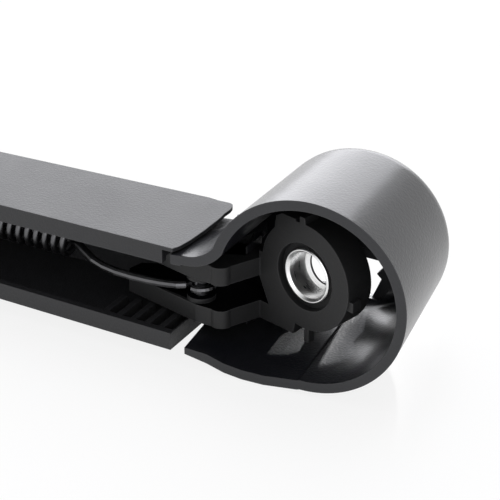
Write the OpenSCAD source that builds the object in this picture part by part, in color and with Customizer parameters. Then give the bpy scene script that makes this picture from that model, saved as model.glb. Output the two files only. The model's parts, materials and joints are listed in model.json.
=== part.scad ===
// Rear wiper arm: head with its spindle insert, sprung arm and hinged cap.
// Millimetres. The spindle axis is Y, the arm runs towards -X, Z is across the arm.

/* [Spindle head] */
// Radius of the straight seat that goes over the wiper spindle
seat_r = 5.1; // [4.9:0.1:5.3]
// Radius of the hole behind the seat that the spindle's stud passes
stud_r = 4.1; // [3.8:0.1:4.3]
// Radius of the round boss round the insert
boss_r = 12; // [11.5:0.1:12.5]
// Depth of the boss along the spindle
boss_depth = 7; // [6.5:0.5:8]
// Thickness of each of the two cheeks that reach into the arm
cheek_t = 4.2; // [3.8:0.1:4.4]

/* [Pivot] */
// Radius of the pin that the arm and the cap turn on
pin_r = 2; // [1.8:0.1:2.1]
// Running clearance of the arm and the cap on the pin, radial
run_gap = 0.06; // [0.04:0.01:0.09]
// Angle of the arm to the head, at rest
arm_angle = 15.1; // [14.5:0.1:15.5]
// Angle of the cap to the head, at rest
cap_angle = 20.3; // [20.0:0.1:20.8]

/* [Arm] */
// Distance from the pivot to the arm's tip
arm_len = 206; // [200:1:240]
// Width of the arm at the head
arm_w = 24.4; // [24.2:0.1:25]
// Width of the arm at its tip
tip_w = 13; // [12:0.5:15]
// Thickness of the arm's side walls
arm_wall = 2; // [1.8:0.1:2.1]
// Width of the thickened rim along the open side
rim_w = 4; // [3.8:0.1:4.1]
// Number of stiffening ribs on each wall beside the cheeks
rib_count = 6; // [4:1:6]

/* [Cap] */
// Outer radius of the cap at its rim
cap_r = 21.5; // [21.2:0.1:22]
// Depth of the cap
cap_depth = 36; // [36:0.5:38]
// Wall thickness of the cap
cap_wall = 2.2; // [2.0:0.1:2.3]
// Draft of the cap's wall in degrees
cap_draft = 3.4; // [3.0:0.1:3.6]

/* [Spring] */
// Mean radius of the tension spring's coil
coil_r = 3.6; // [3.5:0.1:3.7]
// Radius of the spring's wire
wire_r = 0.7; // [0.6:0.05:0.75]
// Number of turns
turns = 20; // [16:1:22]

/* [Hidden] */
$fn = 48;
// The mid plane of the arm lies below the spindle's axis
mid_z = -7.2;
// Pivot axis in the head's frame
piv = [-29.7, -1.28];
cheek_in = 3;
cheek_out = cheek_in + cheek_t;
// The pin that the link hooks on, in the head's frame
hook = [-22.5, -8.6];
hook_r = 1.5;
link_r = 0.9;
hook_a = [
    (hook[0] - piv[0]) * cos(arm_angle) + (hook[1] - piv[1]) * sin(arm_angle),
    -(hook[0] - piv[0]) * sin(arm_angle) + (hook[1] - piv[1]) * cos(arm_angle)
];
// The arm's open rim and the spring's axis, from the pivot
rim_y = -18;
spring_y = -4.5;
spring_x0 = -30;
spring_x1 = -78;
anchor_x = -84;
anchor_r = 1.5;
arm_half = arm_w / 2;
tip_half = tip_w / 2;
// The cap's centre and rim, from the pivot
cap_x = 31.6;
cap_y = -18.5;
cap_dz = 7.2;
slope = tan(cap_draft);
swell = 7.2;
lip_z = 11.35;
ear_in = 7.5;
ear_out = 9.3;

// Turns a drawing in X and Z into a solid along Y, from y0 to y1
module along_y(y0, y1) {
    translate([0, y1, 0])
        rotate([90, 0, 0])
            linear_extrude(height = y1 - y0)
                children();
}

// A round bar or bore along Y
module bar_y(r, y0, y1, r2 = -1) {
    translate([0, y0, 0])
        rotate([-90, 0, 0])
            cylinder(h = y1 - y0, r1 = r, r2 = r2 < 0 ? r : r2);
}

// A round bar or bore along Z, centred on the arm's mid plane
module bar_z(r, h) {
    translate([0, 0, -h / 2])
        cylinder(h = h, r = r);
}

// Puts a piece drawn from the pivot into the arm's rest position
module in_arm() {
    translate([piv[0], piv[1], mid_z])
        rotate([0, 0, arm_angle])
            children();
}

// Puts a piece drawn from the pivot into the cap's rest position
module in_cap() {
    translate([piv[0], piv[1], mid_z])
        rotate([0, 0, cap_angle])
            children();
}

// Outline of one cheek, seen across the arm
module cheek_outline() {
    difference() {
        union() {
            polygon([
                [-6, -1], [-12.6, -1], [-14.2, -8.2], [-16.3, -10.7], [-21, -11.9],
                [-41.2, -12.5], [-43, -10.6], [-43, -7], [-33, 1], [-28.8, 2.6],
                [-12, boss_depth - 3], [-6, boss_depth - 3]
            ]);
            translate(piv)
                circle(r = 4);
            translate([-16.6, -8.6])
                circle(r = 2.45);
        }
        translate(piv)
            circle(r = pin_r);
        translate(hook)
            circle(r = hook_r);
    }
}

// The raised seats round the hook pin on the inner side of each cheek
module hook_seats() {
    for (side = [-1, 1])
        translate([hook[0], hook[1], mid_z + side * (cheek_in - 0.45)])
            difference() {
                bar_z(3.1, 1.1);
                bar_z(hook_r, 2);
            }
}

// Stop lug at the top of the boss, with its small post
module stop_lug() {
    along_y(-1, 3)
        polygon([
            [-10.2, 5.2], [-8.6, 7.8], [-8.1, 11.4], [-6.4, 12.4], [-2.8, 12.4], [-2.6, 11.9],
            [-1.5, 12], [-1.5, 13.4], [-0.2, 13.4], [0.3, 10.5], [0, 0]
        ]);
}

// Web that carries the lower cheek
module lower_web() {
    along_y(-1, min(boss_depth - 1, 6))
        polygon([
            [-12.9, 1.6], [-12.9, -4.2], [-10.1, -10.2], [-9.4, -14.4], [-3, -14.4], [0, 0]
        ]);
}

module spindle_head() {
    color([0.07, 0.07, 0.075])
        difference() {
            union() {
                bar_y(boss_r, -1, boss_depth - 1);
                stop_lug();
                lower_web();
                // fin that centres the cap
                translate([0.2, -1, -15])
                    cube([1.2, 1.8, 6]);
                for (side = [0, 1])
                    translate([0, 0, side ? mid_z + cheek_in : mid_z - cheek_out])
                        linear_extrude(height = cheek_t)
                            cheek_outline();
                hook_seats();
                // back web between the cheeks
                translate([-16, 1, mid_z - cheek_in - 1])
                    cube([8, boss_depth - 4, 2 * cheek_in + 2]);
                // latch post on the side of the boss
                translate([boss_r - 1.1, -0.6, -3.6])
                    cube([2, 2.4, 2.2]);
            }
            // seat of the insert, and the recess round its face
            bar_y(6, -3, boss_depth + 1);
            bar_y(7.5, -3, 0.7);
            // lightening pockets in the back of the boss
            for (a = [40, 90, 140, 270, 320])
                rotate([0, a, 0])
                    translate([9.1, 0, 0])
                        bar_y(1.5, boss_depth - 4.5, boss_depth + 1);
        }
}

module spindle_insert() {
    color([0.83, 0.83, 0.82])
        rotate([-90, 0, 0])
            rotate_extrude()
                polygon([
                    [seat_r + 0.5, -0.5], [5.8, -0.5], [6, -0.3], [6, boss_depth - 1.4],
                    [5.6, boss_depth - 1], [stud_r + 0.3, boss_depth - 1],
                    [stud_r, boss_depth - 1.3], [stud_r, boss_depth - 1.8],
                    [seat_r, boss_depth - 2.2], [seat_r, 0]
                ]);
}

module pivot_pin() {
    color([0.5, 0.5, 0.52])
        translate([piv[0], piv[1], mid_z])
            bar_z(pin_r, 22.4);
}

module hook_pin() {
    color([0.45, 0.45, 0.47])
        translate([hook[0], hook[1], mid_z])
            bar_z(hook_r, 2 * cheek_out - 0.6);
}

// Side view of the arm, from the pivot, with its wall drawn in by t on the closed side
module arm_side(t) {
    polygon([
        [2.6 + t, rim_y - t * 4], [2.6 + t, 4.5 - t], [1.2 + t, 6.3 - t], [-2, 6.7 - t],
        [-57, 5 - t], [-120, 0.6 - t], [-arm_len + 18, -7 - t], [-arm_len + 4, -8.6 - t],
        [-arm_len + t * 1.5, -10.2 - t], [-arm_len + t * 1.5, rim_y + 1.4 - t * 4],
        [-150, rim_y - t * 4]
    ]);
}

// Plan of the arm, with its sides drawn in by t
module arm_plan(t) {
    polygon([
        [3 + t, arm_half - t], [-57, arm_half - 0.5 - t], [-arm_len + 5, tip_half - t],
        [-arm_len + t * 1.5, tip_half - 2 - t * 0.5], [-arm_len + t * 1.5, -tip_half + 2 + t * 0.5],
        [-arm_len + 5, -tip_half + t], [-57, -arm_half + 0.5 + t], [3 + t, -arm_half + t]
    ]);
}

module arm_solid(side_t, plan_t) {
    intersection() {
        translate([0, 0, -20])
            linear_extrude(height = 40)
                arm_side(side_t);
        along_y(-40, 20)
            arm_plan(plan_t);
    }
}

// Ribs between the rim and the inside of each wall, beside the cheeks
module arm_ribs() {
    for (side = [-1, 1])
        for (i = [0 : rib_count - 1])
            translate([-15.4 + i * 3.55, rim_y + 1.2, side > 0 ? arm_half - rim_w : -arm_half + 0.8])
                cube([1.3, 8.4, rim_w - 0.8]);
}

module arm_beam() {
    color([0.11, 0.115, 0.12])
        in_arm()
            difference() {
                union() {
                    difference() {
                        arm_solid(0, 0);
                        // hollow between the walls, above the rim
                        intersection() {
                            arm_solid(2.2, arm_wall);
                            translate([-300, rim_y + 1.6, -20])
                                cube([310, 40, 40]);
                        }
                        // opening between the two rims
                        intersection() {
                            arm_solid(2.2, rim_w);
                            translate([-300, rim_y - 20, -20])
                                cube([310, 24, 40]);
                        }
                    }
                    intersection() {
                        arm_ribs();
                        arm_solid(0, 0);
                    }
                    // thin lip of the upper wall, over the cap's neck
                    translate([0, 0, lip_z])
                        linear_extrude(height = arm_half - lip_z)
                            polygon([
                                [-3, rim_y], [3.6, rim_y], [4.4, -16.4], [4.9, -12.9],
                                [5.15, -7.4], [5.1, -1], [4.7, 3], [0, 5.4], [-3, 5.4]
                            ]);
                    // round bosses for the pivot pin, anchor pin and blade pin
                    for (side = [-1, 1]) {
                        translate([-0.4, 0, side * (arm_half - 1.6)])
                            bar_z(3, 2);
                        translate([anchor_x, spring_y, side * (arm_half - 2.6)])
                            bar_z(3, 3);
                    }
                    for (x = [-110, -135, -160])
                        translate([x, rim_y + 9, 0])
                            arm_bridge(x);
                }
                // room under the lip for the cap's neck
                difference() {
                    translate([1.1, rim_y - 2, 0])
                        cube([9, 30, lip_z]);
                    bar_z(5.6, 50);
                }
                // notch in the web, so that the head's neck clears the arm as it lifts
                translate([-4.9, 3.2, -arm_half + arm_wall])
                    cube([12, 8, arm_w - 2 * arm_wall]);
                // clearance of the arm's rounded end to the cap
                difference() {
                    translate([0, 0, -20])
                        cube([20, 20, 40]);
                    bar_z(5.6, 50);
                }
                bar_z(pin_r + run_gap, 22.8);
                translate([anchor_x, spring_y, 0])
                    bar_z(anchor_r, 2 * arm_half - 2.6);
                translate([-arm_len + 9, -13.6, 0])
                    bar_z(1.6, 40);
            }
}

// A cross rib inside the outer half of the arm
module arm_bridge(x) {
    h = arm_half + (x + 57) / (arm_len - 62) * (arm_half - tip_half) - 1.2;
    translate([-0.7, -5.5, -h])
        cube([1.4, 9.5, 2 * h]);
}

module anchor_pin() {
    color([0.45, 0.45, 0.47])
        in_arm()
            translate([anchor_x, spring_y, 0])
                bar_z(anchor_r, 2 * arm_half - 2.8);
}

module blade_pin() {
    color([0.6, 0.6, 0.62])
        in_arm()
            translate([-arm_len + 9, -13.6, 0])
                bar_z(1.6, tip_w + 1.4);
}

// A bar swept along a path: each entry holds a point, its two normals and the bar's radius
module swept(path, sides) {
    last = len(path) - 1;
    pts = [
        for (q = path)
            for (j = [0 : sides - 1])
                let (b = j * 360 / sides)
                    q[0] + q[3] * (cos(b) * q[1] + sin(b) * q[2])
    ];
    walls = [
        for (i = [0 : last - 1])
            for (j = [0 : sides - 1])
                let (k = (j + 1) % sides)
                    [i * sides + j, (i + 1) * sides + j, (i + 1) * sides + k, i * sides + k]
    ];
    first_end = [for (j = [0 : sides - 1]) j];
    last_end = [for (j = [0 : sides - 1]) last * sides + sides - 1 - j];
    polyhedron(points = pts, faces = concat([first_end, last_end], walls), convexity = 20);
}

// The spring is one wire: a coil, a bend and an end loop, each point with its own two normals
pitch = (spring_x0 - spring_x1) / turns;
steps = 12;
bend = 1.2;
module tension_spring() {
    n = turns * steps;
    tilt = atan(pitch / (2 * PI * coil_r));
    loop_r = anchor_r + wire_r - 0.02;
    coil = [
        for (i = [0 : n])
            let (a = i * 360 / steps)
                [
                    [spring_x0 - pitch * i / steps, spring_y + coil_r * cos(a), coil_r * sin(a)],
                    [0, cos(a), sin(a)],
                    [-cos(tilt), sin(tilt) * sin(a), -sin(tilt) * cos(a)]
                ]
    ];
    turn = [
        for (c = [30 : 30 : 90])
            [
                [spring_x1 - bend * (1 - cos(c)), spring_y + coil_r, bend * sin(c)],
                [0, 1, 0],
                [-cos(c), 0, -sin(c)]
            ]
    ];
    loop = [
        for (c = [90 : 20 : 410])
            [
                [anchor_x + loop_r * cos(c), spring_y + loop_r * sin(c), bend],
                [cos(c), sin(c), 0],
                [0, 0, -1]
            ]
    ];
    path = concat(coil, turn, loop);
    color([0.16, 0.16, 0.17])
        in_arm()
            swept([for (q = path) [q[0], q[1], q[2], wire_r]], 6);
}

// The link: an eye over the hook pin, a bowed shank and a round head held in the coil
module spring_link() {
    eye_r = hook_r + run_gap + link_r + 0.04;
    eye = [
        for (c = [-105 : 15 : 180])
            [hook_a[0] + eye_r * cos(c), hook_a[1] + eye_r * sin(c), link_r]
    ];
    shank = [
        [hook_a[0] - eye_r, hook_a[1] - 0.8, link_r], [hook_a[0] - eye_r - 0.5, hook_a[1] - 1.7, link_r],
        [0.5, -11.6, link_r], [-2.5, -12.4, link_r], [-6, -12.9, link_r], [-10, -13.1, link_r],
        [-14, -12.9, link_r], [-17.5, -12.2, link_r], [-21, -10.8, link_r], [-24.5, -8.6, link_r],
        [-27.5, -6.6, link_r], [-30.5, -5.3, link_r], [-34, -4.7, link_r],
        [-37.6, spring_y, link_r], [-38.4, spring_y, 1.3], [-39.4, spring_y, 1.65],
        [-40.6, spring_y, 1.65], [-41.6, spring_y, 1.1]
    ];
    path = concat(eye, shank);
    last = len(path) - 1;
    color([0.42, 0.42, 0.44])
        in_arm()
            swept([
                for (i = [0 : last])
                    let (
                        a = path[max(i - 1, 0)],
                        b = path[min(i + 1, last)],
                        l = norm([b[0] - a[0], b[1] - a[1]]),
                        nx = (a[1] - b[1]) / l,
                        ny = (b[0] - a[0]) / l
                    )
                        [[path[i][0], path[i][1], 0], [nx, ny, 0], [0, 0, 1], path[i][2]]
            ], 10);
}

// Cone of the cap's round part, drawn in by t
module cap_drum(t) {
    top = cap_depth - t;
    r0 = cap_r - t;
    r1 = cap_r - t - slope * (top - 5);
    f = max(5 - t, 1.5);
    translate([cap_x, cap_y, cap_dz])
        rotate([-90, 0, 0])
            rotate_extrude($fn = 96)
                polygon(concat(
                    [[0, t > 0 ? -1 : 0], [r0 + (t > 0 ? slope : 0), t > 0 ? -1 : 0]],
                    [for (a = [0 : 15 : 90]) [r1 - f + f * cos(a), top - f + f * sin(a)]],
                    [[0, top]]
                ));
}

// Neck of the cap, drawn in by t: a filleted upper side and a drafted lower side
module cap_neck(t) {
    low = t > 0 ? -1 : 0;
    x_low = 4.4 - (t > 0 ? 8 : 0);
    fil = 8;
    fz = 11.2 + fil;
    fx = -sqrt(pow(cap_r + fil - 0.3, 2) - pow(fz - cap_dz, 2));
    x_end = 1.6 - (t > 0 ? 8 : 0);
    intersection() {
        union() {
            difference() {
                translate([0, cap_y, 0])
                    along_y(-3, 40)
                        polygon([[x_end - 2, -4], [x_end - 2, 10.9 - t], [cap_x + fx - 1, 10.9 - t],
                            [cap_x + fx - 1, fz - 2], [cap_x + fx, fz - 2],
                            [cap_x, cap_dz], [cap_x + 2, -4]]);
                translate([cap_x + fx, cap_y, fz])
                    bar_y(fil + t - slope * 5, -5, 45, fil + t + slope * 45);
            }
            translate([0, cap_y, 0])
                rotate([cap_draft, 0, 0])
                    along_y(-5, 44)
                        polygon([[x_low, -3], [x_low, -12.1 + t], [9.5, -13.2 + t],
                            [13.5, -14.5 + t], [17.6, -15.1 + t], [22.5, -15.2 + t],
                            [30, -14.75 + t], [37, -13.4 + t], [38, -3]]);
        }
        translate([0, 0, -30])
            linear_extrude(height = 60)
                polygon([[x_end, cap_y + low], [x_end, 3.4 - t], [4.4, 4.2 - t], [7.5, 8.7 - t],
                    [10, 12 - t], [16, 15.2 - t],
                    [24, 15.9 - t], [cap_x - 1, 15.9 - t], [cap_x - 1, cap_y + low]]);
    }
}

// Ears that carry the cap on the pivot pin, one each side of the cheeks
module cap_ears() {
    for (side = [-1, 1])
        translate([0, 0, side > 0 ? ear_in : -ear_out])
            linear_extrude(height = ear_out - ear_in) {
                circle(r = 3.7);
                polygon([[0, -3.7], [0, 3.7], [12, 5.5], [14, 0], [13, -8], [9, -8]]);
            }
    for (side = [-1, 1])
        translate([8.6, -8, side > 0 ? ear_in : -ear_out - 1.4])
            cube([4.6, 13, ear_out - ear_in + 1.4]);
}

module head_cap() {
    color([0.13, 0.135, 0.145])
        in_cap()
            difference() {
                union() {
                    difference() {
                        union() {
                            cap_drum(0);
                            cap_neck(0);
                        }
                        cap_drum(cap_wall);
                        cap_neck(cap_wall);
                        // room for the arm's rounded end as it lifts
                        bar_z(5.9, 60);
                        intersection() {
                            bar_z(swell, 60);
                            translate([-20, -20, -40])
                                cube([40, 40, 40]);
                        }
                        intersection() {
                            bar_z(swell + 1, 60);
                            translate([-20, -0.4, -40])
                                cube([40, 20, 80]);
                        }
                    }
                    cap_ears();
                    // stiffening ribs across the inside of the end wall
                    translate([cap_x - 14, cap_depth + cap_y - 5.2, cap_dz + 6])
                        cube([28, 4, 1.4]);
                    translate([cap_x + 10.4, cap_depth + cap_y - 8, cap_dz - 12])
                        cube([1.4, 6.5, 18]);
                }
                bar_z(pin_r + run_gap, 40);
                // window in the end wall
                translate([cap_x, 0, cap_dz])
                    along_y(cap_depth + cap_y - 9, cap_depth + cap_y + 1)
                        polygon([[-1.5, -4.4], [5.8, -4.4], [8.6, -7.6], [6.2, -9.6], [7.8, -11],
                            [4.2, -16.2], [-1.5, -16.2]]);
            }
}

spindle_head();
spindle_insert();
pivot_pin();
hook_pin();
arm_beam();
anchor_pin();
blade_pin();
tension_spring();
spring_link();
head_cap();
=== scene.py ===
"""Rear wiper arm: finishes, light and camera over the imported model."""

import json
import logging
import math
from dataclasses import dataclass
from enum import Enum

import bmesh
import bpy
from mathutils import Matrix, Vector


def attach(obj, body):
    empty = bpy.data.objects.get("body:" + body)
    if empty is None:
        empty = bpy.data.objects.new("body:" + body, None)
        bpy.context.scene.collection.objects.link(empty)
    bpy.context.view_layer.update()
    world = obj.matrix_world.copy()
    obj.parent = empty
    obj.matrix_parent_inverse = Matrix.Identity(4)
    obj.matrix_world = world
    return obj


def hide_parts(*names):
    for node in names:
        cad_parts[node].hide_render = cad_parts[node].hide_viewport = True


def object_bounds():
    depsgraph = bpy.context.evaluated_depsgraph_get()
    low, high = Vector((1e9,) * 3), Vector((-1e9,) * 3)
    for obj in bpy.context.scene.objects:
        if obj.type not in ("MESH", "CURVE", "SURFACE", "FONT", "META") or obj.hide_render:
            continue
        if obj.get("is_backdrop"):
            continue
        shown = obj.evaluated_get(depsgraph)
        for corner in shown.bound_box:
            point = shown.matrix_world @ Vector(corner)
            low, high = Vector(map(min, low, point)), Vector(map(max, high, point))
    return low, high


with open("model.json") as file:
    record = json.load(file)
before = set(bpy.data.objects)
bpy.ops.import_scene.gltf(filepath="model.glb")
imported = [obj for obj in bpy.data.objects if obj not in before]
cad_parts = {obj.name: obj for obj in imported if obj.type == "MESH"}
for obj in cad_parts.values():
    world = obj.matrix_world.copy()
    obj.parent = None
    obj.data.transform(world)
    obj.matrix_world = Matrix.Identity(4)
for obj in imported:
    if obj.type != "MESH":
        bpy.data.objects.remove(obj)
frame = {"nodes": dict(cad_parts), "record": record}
LOG = logging.getLogger("wiper_arm")
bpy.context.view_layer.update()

Colour = tuple[float, float, float]
Pairs = tuple[tuple[float, float], ...]
Outline = Pairs

# The pivot pin that the arm and the cap turn on, and how far each is turned in the photograph.
PIVOT = Vector((-0.0297, -0.00128, -0.0072))
ARM_ANGLE = math.radians(15.1)
CAP_ANGLE = math.radians(20.3)

MM_PER_M = 1000

# A corner is found by its place, to this many millimetres.
NEAR = 0.03

# How far the floor lies under the object, in metres.
FLOOR_GAP = 0.0003

# Rays that a material sends out to find its rounded edges and its recesses.
EDGE_RAYS = 4
RECESS_RAYS = 6


class Body(str, Enum):
    """Names of the moving bodies that a finished piece rides on."""

    HEAD = "head"
    ARM = "arm"
    CAP = "cap"


class Slot(str, Enum):
    """Names of the finishes in the record."""

    ARM = "arm_black"
    CAP = "cap_black"
    CAST = "cast_black"
    INSERT = "insert_metal"
    PIN = "pin_steel"
    SPRING = "spring_steel"
    LINK = "link_steel"


@dataclass(frozen=True)
class PaintFinish:
    """A dark coated or moulded surface with grain, speckle and scuffed edges."""

    colour: Colour
    roughness: float
    grain_scale: float
    grain_depth: float
    mottle: float = 0.25
    wear: float = 0.2
    specular: float = 0.5
    coat: float = 0.0
    coat_roughness: float = 0.22
    patchiness: float = 0.12
    dustiness: float = 0.06
    worn_colour: Colour = (0.16, 0.16, 0.165)
    bump_strength: float = 0.5
    edge_radius: float = 0.0003


@dataclass(frozen=True)
class MetalFinish:
    """A bare metal with turning or drawing marks."""

    colour: Colour
    roughness: float
    line_scale: tuple[float, float, float]
    line_depth: float = 0.00001
    tint: float = 0.15
    mark_detail: float = 6.0
    mark_roughness: float = 0.2
    bump_strength: float = 0.4


@dataclass(frozen=True)
class GrainPattern:
    """The shared grain: soft cells, a finer noise on them, and a broad mottle."""

    cell_softness: float = 0.6
    cell_height: float = 0.7
    fine_ratio: float = 2.1
    fine_detail: float = 4.0
    fine_height: float = 0.5
    mottle_scale: float = 90.0
    mottle_detail: float = 5.0


@dataclass(frozen=True)
class WearPattern:
    """The shared wear: rubbed edges broken up by a noise, and specks of dust."""

    edge_radius: float = 0.0005
    edge_gain: float = 5.0
    break_scale: float = 420.0
    break_detail: float = 6.0
    dust_scale: float = 1500.0
    dust_detail: float = 2.0
    dust_above: float = 0.62
    dust_gain: float = 3.0


@dataclass(frozen=True)
class PaintedShadePattern:
    """Painted shade: how paint darkens to near black and loses its coat where other surfaces
    close in on it.
    """

    reach: float = 0.014
    closed_below: float = 0.12
    gain: float = 1.7
    # The near-black colour of the painted shade in the recesses.
    colour: Colour = (0.0035, 0.0036, 0.004)
    roughness_added: float = 0.29
    smoothed_in_open: float = 0.35


PAINTS = {
    Slot.ARM: PaintFinish((0.02, 0.0203, 0.0225), 0.42, 2100.0, 0.0001,
                          mottle=0.12, wear=0.3, specular=0.42, coat=0.08),
    Slot.CAP: PaintFinish((0.009, 0.0097, 0.013), 0.36, 1700.0, 0.00012,
                          mottle=0.1, wear=0.25, specular=0.28, coat=0.62),
    Slot.CAST: PaintFinish((0.016, 0.016, 0.0165), 0.46, 1300.0, 0.00005,
                           mottle=0.25, wear=0.4, specular=0.33),
}
METALS = {
    Slot.INSERT: MetalFinish((0.9, 0.9, 0.89), 0.3, (260, 2400, 260)),
    Slot.PIN: MetalFinish((0.2, 0.2, 0.21), 0.38, (900, 900, 200)),
    Slot.SPRING: MetalFinish((0.13, 0.13, 0.135), 0.38, (500, 500, 500), tint=0.3),
    Slot.LINK: MetalFinish((0.12, 0.12, 0.125), 0.34, (200, 1600, 1600), tint=0.25),
}
# Painted shade: a near-black paint with no sheen, for the faces between the head's cheeks.
CAST_PAINTED_SHADE = PaintFinish((0.004, 0.004, 0.0042), 0.6, 1300.0, 0.00005, specular=0.0)


def new_group(name: str, source: tuple[str, float],
              outputs: tuple[str, ...]) -> bpy.types.ShaderNodeTree:
    """Makes an empty shader node group with number sockets.

    Args:
        name: The group's name.
        source: The name and default of its input.
        outputs: The names of its outputs.

    Returns:
        The group's node tree.
    """
    tree = bpy.data.node_groups.new(name, "ShaderNodeTree")
    label, default = source
    socket = tree.interface.new_socket(label, in_out="INPUT", socket_type="NodeSocketFloat")
    socket.default_value = default
    for output in outputs:
        tree.interface.new_socket(output, in_out="OUTPUT", socket_type="NodeSocketFloat")
    return tree


def link(tree: bpy.types.NodeTree, source: bpy.types.NodeSocket,
         target: bpy.types.NodeSocket) -> None:
    """Joins two sockets.

    Args:
        tree: The tree that holds them.
        source: The output.
        target: The input.
    """
    tree.links.new(source, target)


def add(tree: bpy.types.NodeTree, kind: str, sockets: dict[str, object] | None = None,
        **values: object) -> bpy.types.Node:
    """Adds a node, and sets its input sockets and attributes.

    Args:
        tree: The tree.
        kind: The node's type name.
        sockets: Values of input sockets by name.
        **values: Attributes to set.

    Returns:
        The node.
    """
    node = tree.nodes.new(kind)
    for name, value in values.items():
        setattr(node, name, value)
    for name, value in (sockets or {}).items():
        node.inputs[name].default_value = value
    return node


def maths(tree: bpy.types.NodeTree, operation: str, first: object, second: object,
          clamp: bool = False) -> bpy.types.NodeSocket:
    """Adds a maths node on sockets or numbers.

    Args:
        tree: The tree.
        operation: The node's operation.
        first: First value, a socket or a number.
        second: Second value.
        clamp: Keeps the result between 0 and 1.

    Returns:
        The result's socket.
    """
    node = add(tree, "ShaderNodeMath", operation=operation, use_clamp=clamp)
    for socket, value in zip(node.inputs, (first, second)):
        if isinstance(value, (int, float)):
            socket.default_value = value
        else:
            link(tree, value, socket)
    return node.outputs[0]


def straight_rays(tree: bpy.types.NodeTree) -> bpy.types.NodeSocket:
    """Tells rays from the eye, a reflection or glass from those that only carry light.

    Args:
        tree: The tree of the floor or the surround.

    Returns:
        A socket that is 1 for such rays.
    """
    rays = add(tree, "ShaderNodeLightPath")
    seen = maths(tree, "MAXIMUM", rays.outputs["Is Camera Ray"], rays.outputs["Is Glossy Ray"])
    return maths(tree, "MAXIMUM", seen, rays.outputs["Is Transmission Ray"])


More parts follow.
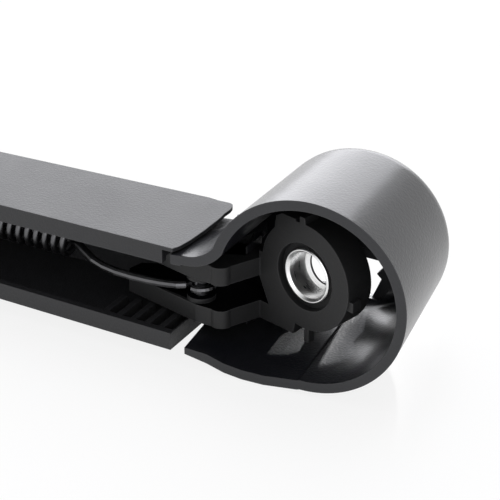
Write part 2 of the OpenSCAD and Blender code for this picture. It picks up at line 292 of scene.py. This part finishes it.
class SurfaceLibrary:
    """Holds the node groups that the finishes share, and makes the materials."""

    def __init__(self) -> None:
        """Builds the shared groups."""
        self.grain = self._grain_group(GrainPattern())
        self.wear = self._wear_group(WearPattern())
        self.painted_shade = PaintedShadePattern()

    def _grain_group(self, pattern: GrainPattern) -> bpy.types.ShaderNodeTree:
        """Even moulded or powder-coat grain: a height and a broad mottle.

        Args:
            pattern: Its measures.

        Returns:
            The group.
        """
        tree = new_group("even_grain", ("Scale", 2500.0), ("Height", "Mottle"))
        source = add(tree, "NodeGroupInput")
        out = add(tree, "NodeGroupOutput")
        place = add(tree, "ShaderNodeTexCoord")
        cells = add(tree, "ShaderNodeTexVoronoi", {"Smoothness": pattern.cell_softness},
                    feature="SMOOTH_F1")
        fine = add(tree, "ShaderNodeTexNoise", {"Detail": pattern.fine_detail})
        broad = add(tree, "ShaderNodeTexNoise",
                    {"Scale": pattern.mottle_scale, "Detail": pattern.mottle_detail})
        for node in (cells, fine, broad):
            link(tree, place.outputs["Object"], node.inputs["Vector"])
        link(tree, source.outputs["Scale"], cells.inputs["Scale"])
        fine_scale = maths(tree, "MULTIPLY", source.outputs["Scale"], pattern.fine_ratio)
        link(tree, fine_scale, fine.inputs["Scale"])
        cell_height = maths(tree, "MULTIPLY", cells.outputs["Distance"], pattern.cell_height)
        fine_height = maths(tree, "MULTIPLY", fine.outputs["Fac"], pattern.fine_height)
        link(tree, maths(tree, "ADD", cell_height, fine_height), out.inputs["Height"])
        link(tree, broad.outputs["Fac"], out.inputs["Mottle"])
        return tree

    def _wear_group(self, pattern: WearPattern) -> bpy.types.ShaderNodeTree:
        """Rubbed edges, where the rounded normal leaves the face's own, and faint dust.

        Args:
            pattern: Its measures.

        Returns:
            The group.
        """
        tree = new_group("edge_wear", ("Amount", 0.2), ("Edge", "Dust"))
        source = add(tree, "NodeGroupInput")
        out = add(tree, "NodeGroupOutput")
        place = add(tree, "ShaderNodeTexCoord")
        rounded = add(tree, "ShaderNodeBevel", {"Radius": pattern.edge_radius},
                      samples=EDGE_RAYS)
        face = add(tree, "ShaderNodeNewGeometry")
        likeness = add(tree, "ShaderNodeVectorMath", operation="DOT_PRODUCT")
        link(tree, rounded.outputs["Normal"], likeness.inputs[0])
        link(tree, face.outputs["Normal"], likeness.inputs[1])
        leaves = maths(tree, "SUBTRACT", 1.0, likeness.outputs["Value"])
        edge = maths(tree, "MULTIPLY", leaves, pattern.edge_gain, clamp=True)
        broken = add(tree, "ShaderNodeTexNoise",
                     {"Scale": pattern.break_scale, "Detail": pattern.break_detail})
        link(tree, place.outputs["Object"], broken.inputs["Vector"])
        patchy = maths(tree, "MULTIPLY", edge, broken.outputs["Fac"])
        mask = maths(tree, "MULTIPLY", patchy, source.outputs["Amount"], clamp=True)
        link(tree, mask, out.inputs["Edge"])
        specks = add(tree, "ShaderNodeTexNoise",
                     {"Scale": pattern.dust_scale, "Detail": pattern.dust_detail})
        link(tree, place.outputs["Object"], specks.inputs["Vector"])
        bright = maths(tree, "SUBTRACT", specks.outputs["Fac"], pattern.dust_above)
        dust = maths(tree, "MULTIPLY", bright, pattern.dust_gain, clamp=True)
        link(tree, dust, out.inputs["Dust"])
        return tree

    def _shell(self, name: str) -> tuple[bpy.types.Material, bpy.types.NodeTree, bpy.types.Node]:
        """Starts a material with its shader.

        Args:
            name: The material's name.

        Returns:
            The material, its tree and its shader node.
        """
        material = bpy.data.materials.new(name)
        material.use_nodes = True
        tree = material.node_tree
        return material, tree, tree.nodes["Principled BSDF"]

    def _between(self, tree: bpy.types.NodeTree, low: Colour | bpy.types.NodeSocket,
                 high: Colour | bpy.types.NodeSocket,
                 share: bpy.types.NodeSocket) -> bpy.types.NodeSocket:
        """Mixes two colours, fixed ones or sockets, by a mask.

        Args:
            tree: The material's tree.
            low: The colour at 0.
            high: The colour at 1.
            share: The mask.

        Returns:
            The mixed colour's socket.
        """
        mix = add(tree, "ShaderNodeMix", data_type="RGBA")
        for name, colour in (("A", low), ("B", high)):
            if isinstance(colour, tuple):
                mix.inputs[name].default_value = (*colour, 1)
            else:
                link(tree, colour, mix.inputs[name])
        link(tree, share, mix.inputs["Factor"])
        return mix.outputs["Result"]

    def _unshaded_part(self, tree: bpy.types.NodeTree) -> bpy.types.NodeSocket:
        """Tells the open surface from the recesses, for the painted shade.

        Args:
            tree: The material's tree.

        Returns:
            A socket that falls from 1 in the open to 0 in a recess.
        """
        hollow = add(tree, "ShaderNodeAmbientOcclusion", {"Distance": self.painted_shade.reach},
                     samples=RECESS_RAYS)
        lit = maths(tree, "SUBTRACT", hollow.outputs["AO"], self.painted_shade.closed_below)
        return maths(tree, "MULTIPLY", lit, self.painted_shade.gain, clamp=True)

    def _paint_colour(self, tree: bpy.types.NodeTree, finish: PaintFinish,
                      mottle: bpy.types.NodeSocket,
                      unshaded_part: bpy.types.NodeSocket) -> bpy.types.NodeSocket:
        """Makes a mottled colour, scuffed at its edges, with painted shade that darkens it in its
        recesses.

        Args:
            tree: The material's tree.
            finish: Its looks.
            mottle: The grain's mottle.
            unshaded_part: The mask of the open surface.

        Returns:
            The colour's socket.
        """
        wear = add(tree, "ShaderNodeGroup", {"Amount": finish.wear}, node_tree=self.wear)
        mottled = self._between(tree, tuple(c * (1 - finish.mottle) for c in finish.colour),
                                tuple(c * (1 + finish.mottle) for c in finish.colour), mottle)
        dust = maths(tree, "MULTIPLY", wear.outputs["Dust"], finish.dustiness)
        scuffed = maths(tree, "ADD", wear.outputs["Edge"], dust, clamp=True)
        worn = self._between(tree, mottled, finish.worn_colour, scuffed)
        # Painted shade: the colour falls to near black in the recesses.
        return self._between(tree, self.painted_shade.colour, worn, unshaded_part)

    def _paint_gloss(self, tree: bpy.types.NodeTree, shader: bpy.types.Node,
                     finish: PaintFinish, mottle: bpy.types.NodeSocket,
                     unshaded_part: bpy.types.NodeSocket) -> None:
        """Sets a patchy sheen whose coat fades in the recesses as painted shade, where the paint
        is also rougher.

        Args:
            tree: The material's tree.
            shader: Its shader.
            finish: Its looks.
            mottle: The grain's mottle.
            unshaded_part: The mask of the open surface.
        """
        shader.inputs["Specular IOR Level"].default_value = finish.specular
        shader.inputs["Coat Roughness"].default_value = finish.coat_roughness
        # Painted shade: the coat fades in the recesses, so that they show no sheen.
        coat = maths(tree, "MULTIPLY", unshaded_part, finish.coat)
        link(tree, coat, shader.inputs["Coat Weight"])
        patches = maths(tree, "MULTIPLY", mottle, finish.patchiness)
        in_recess = maths(tree, "ADD", patches, finish.roughness + self.painted_shade.roughness_added)
        smoother = maths(tree, "MULTIPLY", unshaded_part, self.painted_shade.smoothed_in_open)
        rough = maths(tree, "SUBTRACT", in_recess, smoother, clamp=True)
        link(tree, rough, shader.inputs["Roughness"])

    def _paint_bump(self, tree: bpy.types.NodeTree, shader: bpy.types.Node,
                    finish: PaintFinish, height: bpy.types.NodeSocket) -> None:
        """Sets the fine grain on softly rounded edges.

        Args:
            tree: The material's tree.
            shader: Its shader.
            finish: Its looks.
            height: The grain's height.
        """
        bump = add(tree, "ShaderNodeBump",
                   {"Strength": finish.bump_strength, "Distance": finish.grain_depth})
        link(tree, height, bump.inputs["Height"])
        edge = add(tree, "ShaderNodeBevel", {"Radius": finish.edge_radius}, samples=EDGE_RAYS)
        link(tree, edge.outputs["Normal"], bump.inputs["Normal"])
        link(tree, bump.outputs["Normal"], shader.inputs["Normal"])

    def paint(self, name: str, finish: PaintFinish) -> bpy.types.Material:
        """Makes a coated or moulded material, rougher in its recesses and darkened there by
        painted shade.

        Args:
            name: The material's name.
            finish: Its looks.

        Returns:
            The material.
        """
        material, tree, shader = self._shell(name)
        grain = add(tree, "ShaderNodeGroup", {"Scale": finish.grain_scale},
                    node_tree=self.grain)
        mottle = grain.outputs["Mottle"]
        unshaded_part = self._unshaded_part(tree)
        colour = self._paint_colour(tree, finish, mottle, unshaded_part)
        link(tree, colour, shader.inputs["Base Color"])
        self._paint_gloss(tree, shader, finish, mottle, unshaded_part)
        self._paint_bump(tree, shader, finish, grain.outputs["Height"])
        return material

    def metal(self, name: str, finish: MetalFinish) -> bpy.types.Material:
        """Makes a bare metal material.

        Args:
            name: The material's name.
            finish: Its looks.

        Returns:
            The material.
        """
        material, tree, shader = self._shell(name)
        place = add(tree, "ShaderNodeTexCoord")
        stretch = add(tree, "ShaderNodeMapping", {"Scale": finish.line_scale})
        link(tree, place.outputs["Object"], stretch.inputs["Vector"])
        lines = add(tree, "ShaderNodeTexNoise", {"Scale": 1.0, "Detail": finish.mark_detail})
        link(tree, stretch.outputs["Vector"], lines.inputs["Vector"])
        drawn = self._between(tree, tuple(c * (1 - finish.tint) for c in finish.colour),
                              tuple(min(c * (1 + finish.tint), 1) for c in finish.colour),
                              lines.outputs["Fac"])
        link(tree, drawn, shader.inputs["Base Color"])
        shader.inputs["Metallic"].default_value = 1.0
        marks = maths(tree, "MULTIPLY", lines.outputs["Fac"], finish.mark_roughness)
        smoothest = finish.roughness - finish.mark_roughness / 2
        rough = maths(tree, "ADD", marks, smoothest, clamp=True)
        link(tree, rough, shader.inputs["Roughness"])
        bump = add(tree, "ShaderNodeBump",
                   {"Strength": finish.bump_strength, "Distance": finish.line_depth})
        link(tree, lines.outputs["Fac"], bump.inputs["Height"])
        link(tree, bump.outputs["Normal"], shader.inputs["Normal"])
        return material


def in_arm(x: float, y: float, z: float) -> Vector:
    """A point given from the pivot in the arm's own directions, in millimetres, in the row frame.

    Args:
        x: Along the arm.
        y: Away from the glass.
        z: Across the arm.

    Returns:
        The point in metres.
    """
    return PIVOT + Matrix.Rotation(ARM_ANGLE, 3, "Z") @ Vector((x, y, z)) / MM_PER_M


def in_cap(x: float, y: float, z: float) -> Vector:
    """A point given from the pivot in the cap's own directions, in millimetres, in the row frame.

    Args:
        x: Along the cap's neck.
        y: Away from the glass.
        z: Across the arm.

    Returns:
        The point in metres.
    """
    return PIVOT + Matrix.Rotation(CAP_ANGLE, 3, "Z") @ Vector((x, y, z)) / MM_PER_M


def prism(name: str, low: list[Vector], high: list[Vector]) -> bpy.types.Object:
    """Makes a closed prism between two matching outlines.

    Args:
        name: The object's name.
        low: The first outline.
        high: The second outline.

    Returns:
        The prism.
    """
    count = len(low)
    ends = [tuple(range(count)), tuple(range(count, 2 * count))]
    walls = [(i, (i + 1) % count, (i + 1) % count + count, i + count) for i in range(count)]
    mesh = bpy.data.meshes.new(name)
    mesh.from_pydata(low + high, [], ends + walls)
    shape = bmesh.new()
    shape.from_mesh(mesh)
    bmesh.ops.recalc_face_normals(shape, faces=shape.faces)
    shape.to_mesh(mesh)
    shape.free()
    piece = bpy.data.objects.new(name, mesh)
    bpy.context.scene.collection.objects.link(piece)
    return piece


def choose(*pieces: bpy.types.Object) -> None:
    """Selects pieces and makes the first one active.

    Args:
        *pieces: The pieces.
    """
    bpy.ops.object.select_all(action="DESELECT")
    for piece in pieces:
        piece.select_set(True)
    bpy.context.view_layer.objects.active = pieces[0]


def twin(node: str, name: str) -> bpy.types.Object:
    """Copies a CAD node's mesh, so that the copy can be finished further.

    Args:
        node: The CAD node.
        name: The copy's name.

    Returns:
        The copy, at the origin.
    """
    piece = bpy.data.objects.new(name, frame["nodes"][node].data.copy())
    bpy.context.scene.collection.objects.link(piece)
    return piece


def combine(piece: bpy.types.Object, tool: bpy.types.Object, operation: str) -> None:
    """Joins a tool to a piece or cuts it out, and removes the tool.

    Args:
        piece: The piece that stays.
        tool: The tool.
        operation: UNION or DIFFERENCE.
    """
    choose(piece)
    step = piece.modifiers.new("step", "BOOLEAN")
    step.object = tool
    step.operation = operation
    step.solver = "EXACT"
    bpy.ops.object.modifier_apply(modifier=step.name)
    bpy.data.objects.remove(tool)


def hand_over(piece: bpy.types.Object, node: str, body: Body) -> bpy.types.Object:
    """Puts a finished piece in a CAD node's place.

    Args:
        piece: The finished piece.
        node: The node that it stands for.
        body: The body that it rides on.

    Returns:
        The piece.
    """
    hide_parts(node)
    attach(piece, body.value)
    return piece


@dataclass
class CapShell:
    """The cap with its lower rim blended, and its openings cut to the photograph's shapes.

    Sizes are millimetres in the cap's own directions, from the pivot. The outlines of the
    window and the opening are given from the middle of the round part.
    """

    drum_x: float = 31.6
    drum_z: float = 7.2
    rim_y: float = -18.5
    draft: float = 3.4
    step_lifts: Pairs = ((30.0, 0.3), (30.6, 0.36))
    rim_bands: Pairs = ((-15.0, -14.4), (-12.8, -12.2))
    ear_front: float = -8.0
    ear_span: tuple[float, float] = (8.5, 13.3)
    ear_heights: tuple[float, float] = (7.3, 10.9)
    ear_setback: float = 6.2
    window_edge: Outline = (
        (-1.7, -4.2), (6, -4.2), (8.9, -7.6), (6.5, -9.6), (8.1, -11), (4.4, -16.5),
        (2, -16.5), (4.1, -11.4), (3, -10.3), (4.3, -8.7), (4.6, -7.1), (-1.7, -6.7))
    window_depths: tuple[float, float] = (15.6, 17.2)
    opening: Outline = ((-13.2, -7.8), (-7.2, -8.4), (-6.8, -15.2), (-12.8, -15.2))
    opening_depths: tuple[float, float] = (13.5, 19.5)
    smooth_up_to: float = 22.0

    def _blend(self, piece: bpy.types.Object) -> None:
        """Lifts the lower rim's step and sets the ears' front back.

        Args:
            piece: The cap's copy.
        """
        slope = math.tan(math.radians(self.draft))
        turn = Matrix.Rotation(CAP_ANGLE, 3, "Z")
        for vertex in piece.data.vertices:
            x, y, z = turn.transposed() @ (vertex.co - PIVOT) * MM_PER_M
            level = z - slope * (y - self.rim_y)
            lift = next((up for place, up in self.step_lifts if abs(x - place) < NEAR), 0)
            if lift and any(low < level < high for low, high in self.rim_bands):
                vertex.co += Vector((0, 0, lift / MM_PER_M))
            in_ear = (self.ear_span[0] < x < self.ear_span[1]
                      and self.ear_heights[0] < abs(z) < self.ear_heights[1])
            if in_ear and abs(y - self.ear_front) < NEAR:
                vertex.co += turn @ Vector((0, self.ear_setback / MM_PER_M, 0))

    def _plug(self, name: str, outline: Outline, depths: tuple[float, float]) -> bpy.types.Object:
        """Makes a prism through the end wall.

        Args:
            name: Its name.
            outline: Its outline from the middle of the round part.
            depths: How deep it starts and ends.

        Returns:
            The prism.
        """
        near, far = ([in_cap(self.drum_x + x, depth, self.drum_z + z) for x, z in outline]
                     for depth in depths)
        return prism(name, near, far)

    def build(self) -> bpy.types.Object:
        """Makes the finished cap.

        Returns:
            The new piece.
        """
        piece = twin("head_cap", "cap_shell")
        self._blend(piece)
        edge = self._plug("window_edge", self.window_edge, self.window_depths)
        edge.data.materials.append(piece.data.materials[0])
        opening = self._plug("opening", self.opening, self.opening_depths)
        combine(piece, opening, "DIFFERENCE")
        choose(piece, edge)
        bpy.ops.object.join()
        bpy.ops.object.shade_smooth_by_angle(angle=math.radians(self.smooth_up_to))
        normals = piece.modifiers.new("normals", "WEIGHTED_NORMAL")
        normals.keep_sharp = True
        bpy.ops.object.modifier_apply(modifier=normals.name)
        return hand_over(piece, "head_cap", Body.CAP)


@dataclass
class ArmShell:
    """The arm with the far corner of its thin lip completed.

    Sizes are millimetres in the arm's own directions, from the pivot.
    """

    lip_corner: Outline = ((-0.3, 6.35), (-0.3, 1.5), (4.85, 1.5), (4.95, 3.6),
                           (4.7, 5.0), (4.2, 6.0), (3.4, 6.45))
    lip_under: float = 11.37
    lip_top: float = 12.174
    lip_taper: float = 0.0083
    lip_most: float = 12.198
    seam: tuple[float, float] = (-3.0, 12.2)
    seam_height: float = 0.01
    seam_drop: float = 0.05

    def build(self) -> bpy.types.Object:
        """Makes the finished arm.

        Returns:
            The new piece.
        """
        piece = twin("arm_beam", "arm_shell")
        under = [in_arm(x, y, self.lip_under) for x, y in self.lip_corner]
        top = [in_arm(x, y, min(self.lip_top + x * self.lip_taper, self.lip_most))
               for x, y in self.lip_corner]
        straighten = Matrix.Rotation(-ARM_ANGLE, 3, "Z")
        for vertex in piece.data.vertices:
            x, _, z = straighten @ (vertex.co - PIVOT) * MM_PER_M
            if abs(x - self.seam[0]) < NEAR and abs(z - self.seam[1]) < self.seam_height:
                vertex.co.z -= self.seam_drop / MM_PER_M
        combine(piece, prism("lip_corner", under, top), "UNION")
        bpy.ops.object.shade_flat()
        return hand_over(piece, "arm_beam", Body.ARM)


@dataclass
class HeadCasting:
    """The cast head with its web set back, and a near-black paint on the faces between the cheeks
    as painted shade.

    Sizes are millimetres in the row frame.
    """

    painted_shade: bpy.types.Material
    middle_z: float = -7.2
    web_front: float = 1.0
    web_back: float = 3.8
    web_span: tuple[float, float] = (-16.1, -8.0)
    web_reach: float = 3.2
    gap_reach: float = 3.1
    gap_front: float = -11.6
    facing_side: float = 0.8
    behind: float = 3.0

    def build(self) -> bpy.types.Object:
        """Makes the finished head.

        Returns:
            The new piece.
        """
        piece = twin("spindle_head", "head_casting")
        for vertex in piece.data.vertices:
            x, y, z = vertex.co * MM_PER_M
            along = self.web_span[0] < x < self.web_span[1]
            across = abs(z - self.middle_z) < self.web_reach
            if along and across and abs(y - self.web_front) < NEAR:
                vertex.co.y = self.web_back / MM_PER_M
        # Painted shade: the faces between the cheeks take the near-black paint.
        piece.data.materials.append(self.painted_shade)
        for face in piece.data.polygons:
            x, y, z = face.center * MM_PER_M
            inner = abs(face.normal.z) > self.facing_side or y > self.behind
            in_gap = abs(z - self.middle_z) < self.gap_reach and y > self.gap_front
            if inner and in_gap and x < self.web_span[1]:
                face.material_index = 1
        return hand_over(piece, "spindle_head", Body.HEAD)


@dataclass
class TensionSpring:
    """The arm's spring as one smooth drawn wire in place of its coarse solid.

    Sizes are millimetres in the arm's own directions, from the pivot.
    """

    material: bpy.types.Material
    coil: float = 3.6
    wire: float = 0.7
    turns: int = 20
    steps: int = 24
    start: float = -30.0
    end: float = -78.0
    height: float = -4.5
    anchor: float = -84.0
    bend: float = 1.2
    bend_degrees: range = range(30, 91, 20)
    loop: float = 2.18
    loop_degrees: range = range(90, 411, 12)
    roundness: int = 4

    def _coil_points(self) -> list[Vector]:
        """Points along the coil's turns, in the row frame."""
        pitch = (self.start - self.end) / self.turns
        return [
            in_arm(self.start - pitch * i / self.steps,
                   self.height + self.coil * math.cos(math.tau * i / self.steps),
                   self.coil * math.sin(math.tau * i / self.steps))
            for i in range(self.turns * self.steps + 1)
        ]

    def _loop_points(self) -> list[Vector]:
        """Points along the bend and the loop round the anchor pin, in the row frame."""
        points = []
        for angle in map(math.radians, self.bend_degrees):
            points.append(in_arm(self.end - self.bend * (1 - math.cos(angle)),
                                 self.height + self.coil, self.bend * math.sin(angle)))
        for angle in map(math.radians, self.loop_degrees):
            points.append(in_arm(self.anchor + self.loop * math.cos(angle),
                                 self.height + self.loop * math.sin(angle), self.bend))
        return points

    def build(self) -> bpy.types.Object:
        """Makes the wire, its material and its place.

        Returns:
            The new piece.
        """
        curve = bpy.data.curves.new("spring_wire", "CURVE")
        curve.dimensions = "3D"
        curve.bevel_depth = self.wire / MM_PER_M
        curve.bevel_resolution = self.roundness
        curve.use_fill_caps = True
        spline = curve.splines.new("POLY")
        points = self._coil_points() + self._loop_points()
        spline.points.add(len(points) - 1)
        for point, place in zip(spline.points, points):
            point.co = (*place, 1)
        piece = bpy.data.objects.new("spring_wire", curve)
        bpy.context.scene.collection.objects.link(piece)
        choose(piece)
        bpy.ops.object.convert(target="MESH")
        bpy.ops.object.shade_smooth()
        piece = bpy.context.view_layer.objects.active
        piece.data.materials.clear()
        piece.data.materials.append(self.material)
        return hand_over(piece, "tension_spring", Body.ARM)


@dataclass(frozen=True)
class SoftLamp:
    """A square soft lamp that faces the spindle."""

    name: str
    place: tuple[float, float, float]
    size: float
    power: float
    colour: Colour = (0.95, 0.955, 1.0)

    def hang(self) -> None:
        """Adds the lamp to the scene."""
        data = bpy.data.lights.new(self.name, "AREA")
        data.size = self.size
        data.energy = self.power
        data.color = self.colour
        lamp = bpy.data.objects.new(self.name, data)
        lamp.location = self.place
        lamp.rotation_euler = (-Vector(self.place)).to_track_quat("-Z", "Y").to_euler()
        bpy.context.scene.collection.objects.link(lamp)


@dataclass(frozen=True)
class WindowLight:
    """A narrow beam through the cap's window, on the inside of its lower wall.

    The window is given in millimetres in the cap's own directions, and the lamp's place in
    metres from there.
    """

    window: tuple[float, float, float] = (33.5, 17, -4)
    away: tuple[float, float, float] = (-0.04, 0.5, 0.215)
    power: float = 42.0
    softness: float = 0.008
    beam: float = 2.7
    fade: float = 0.3

    def hang(self) -> None:
        """Adds the lamp to the scene."""
        data = bpy.data.lights.new("window_light", "SPOT")
        data.energy = self.power
        data.shadow_soft_size = self.softness
        data.spot_size = math.radians(self.beam)
        data.spot_blend = self.fade
        lamp = bpy.data.objects.new("window_light", data)
        window = in_cap(*self.window)
        lamp.location = window + Matrix.Rotation(CAP_ANGLE, 3, "Z") @ Vector(self.away)
        lamp.rotation_euler = (window - lamp.location).to_track_quat("-Z", "Y").to_euler()
        bpy.context.scene.collection.objects.link(lamp)


LAMPS = (
    SoftLamp("back_box", (-0.85, 0.95, 0.62), 1.3, 12.6),
    SoftLamp("key", (-0.2, 0.3, 1.0), 0.6, 3.7),
    SoftLamp("fill", (0.7, -0.6, 0.35), 0.8, 1.9),
    WindowLight(),
)


@dataclass
class Studio:
    """Pale floor, soft lamps and the camera of the photograph."""

    floor_height: float
    floor_size: float = 12.0
    floor_colour: Colour = (0.93, 0.93, 0.93)
    floor_roughness: float = 0.8
    floor_specular: float = 0.1
    floor_white: float = 0.85
    dark_towards: tuple[float, float, float] = (0.64, -0.70, 0.31)
    dark_margin: float = 0.25
    dark_gain: float = 0.85
    brightest: float = 0.92
    darkening: float = 0.72
    camera_place: tuple[float, float, float] = (0.21231, -0.2345, 0.16977)
    camera_azimuth: float = 44.3
    camera_elevation: float = 27.4
    focal_pixels: float = 1750.0
    picture_pixels: float = 500.0
    sensor: float = 36.0
    nearest: float = 0.01
    farthest: float = 50.0

    def floor(self) -> None:
        """Adds the pale floor, which the eye and reflections see as near white."""
        bpy.ops.object.select_all(action="DESELECT")
        bpy.ops.mesh.primitive_plane_add(size=self.floor_size,
                                         location=(0, 0, self.floor_height))
        plane = bpy.context.view_layer.objects.active
        plane.name = "floor"
        material = bpy.data.materials.new("floor_pale")
        material.use_nodes = True
        tree = material.node_tree
        shader = tree.nodes["Principled BSDF"]
        shader.inputs["Base Color"].default_value = (*self.floor_colour, 1)
        shader.inputs["Roughness"].default_value = self.floor_roughness
        shader.inputs["Specular IOR Level"].default_value = self.floor_specular
        white = add(tree, "ShaderNodeEmission", {"Color": (1, 1, 1, 1)})
        blend = add(tree, "ShaderNodeMixShader")
        share = maths(tree, "MULTIPLY", straight_rays(tree), self.floor_white)
        link(tree, share, blend.inputs[0])
        link(tree, shader.outputs[0], blend.inputs[1])
        link(tree, white.outputs[0], blend.inputs[2])
        link(tree, blend.outputs[0], tree.nodes["Material Output"].inputs["Surface"])
        plane.data.materials.append(material)
        plane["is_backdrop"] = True

    def world(self) -> None:
        """Sets a white surround, which lights the object less from the camera's side."""
        world = bpy.data.worlds.new("surround")
        bpy.context.scene.world = world
        world.use_nodes = True
        tree = world.node_tree
        back = tree.nodes["Background"]
        place = add(tree, "ShaderNodeTexCoord")
        front = add(tree, "ShaderNodeVectorMath", operation="DOT_PRODUCT")
        front.inputs[1].default_value = self.dark_towards
        link(tree, place.outputs["Generated"], front.inputs[0])
        past = maths(tree, "ADD", front.outputs["Value"], self.dark_margin)
        dark = maths(tree, "MULTIPLY", past, self.dark_gain, clamp=True)
        light = maths(tree, "SUBTRACT", self.brightest,
                      maths(tree, "MULTIPLY", dark, self.darkening))
        seen = straight_rays(tree)
        unseen = maths(tree, "SUBTRACT", 1.0, seen)
        strength = maths(tree, "ADD", seen, maths(tree, "MULTIPLY", unseen, light))
        link(tree, strength, back.inputs["Strength"])
        back.inputs["Color"].default_value = (1, 1, 1, 1)

    def camera(self) -> None:
        """Sets the camera at the photograph's place and lens."""
        azimuth, height = math.radians(self.camera_azimuth), math.radians(self.camera_elevation)
        right = Vector((math.cos(azimuth), math.sin(azimuth), 0))
        ahead = Vector((-math.sin(azimuth) * math.cos(height),
                        math.cos(azimuth) * math.cos(height), -math.sin(height)))
        up = right.cross(ahead)
        data = bpy.data.cameras.new("photo_camera")
        data.sensor_width = self.sensor
        data.lens = self.focal_pixels / self.picture_pixels * self.sensor
        data.clip_start = self.nearest
        data.clip_end = self.farthest
        camera = bpy.data.objects.new("photo_camera", data)
        rotation = Matrix((right, up, -ahead)).transposed().to_4x4()
        camera.matrix_world = Matrix.Translation(self.camera_place) @ rotation
        bpy.context.scene.collection.objects.link(camera)
        bpy.context.scene.camera = camera

    def build(self) -> None:
        """Sets up the floor, the light and the camera, with colours shown as written."""
        self.floor()
        self.world()
        for lamp in LAMPS:
            lamp.hang()
        self.camera()
        bpy.context.scene.view_settings.view_transform = "Standard"


def dress_nodes(library: SurfaceLibrary) -> dict[str, bpy.types.Material]:
    """Gives every CAD node its material.

    Args:
        library: The shared node groups.

    Returns:
        The materials by slot.
    """
    looks = {slot.value: library.paint(slot.value, finish) for slot, finish in PAINTS.items()}
    looks |= {slot.value: library.metal(slot.value, finish) for slot, finish in METALS.items()}
    slots = {part["node"]: part["material_slot"] for part in frame["record"]["subparts"]}
    for name, node in frame["nodes"].items():
        node.data.materials.clear()
        node.data.materials.append(looks[slots[name]])
        LOG.info("%s: %s", name, slots[name])
    return looks


def main() -> None:
    """Builds the scene over the frame."""
    logging.basicConfig(level=logging.INFO)
    library = SurfaceLibrary()
    looks = dress_nodes(library)
    # The near-black paint of the painted shade between the head's cheeks.
    painted_shade = library.paint("cast_painted_shade", CAST_PAINTED_SHADE)
    for maker in (TensionSpring(looks[Slot.SPRING.value]), CapShell(), ArmShell(),
                  HeadCasting(painted_shade)):
        piece = maker.build()
        LOG.info("%s: %d faces", piece.name, len(piece.data.polygons))
    Studio(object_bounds()[0][2] - FLOOR_GAP).build()


if __name__ == "__main__":
    main()
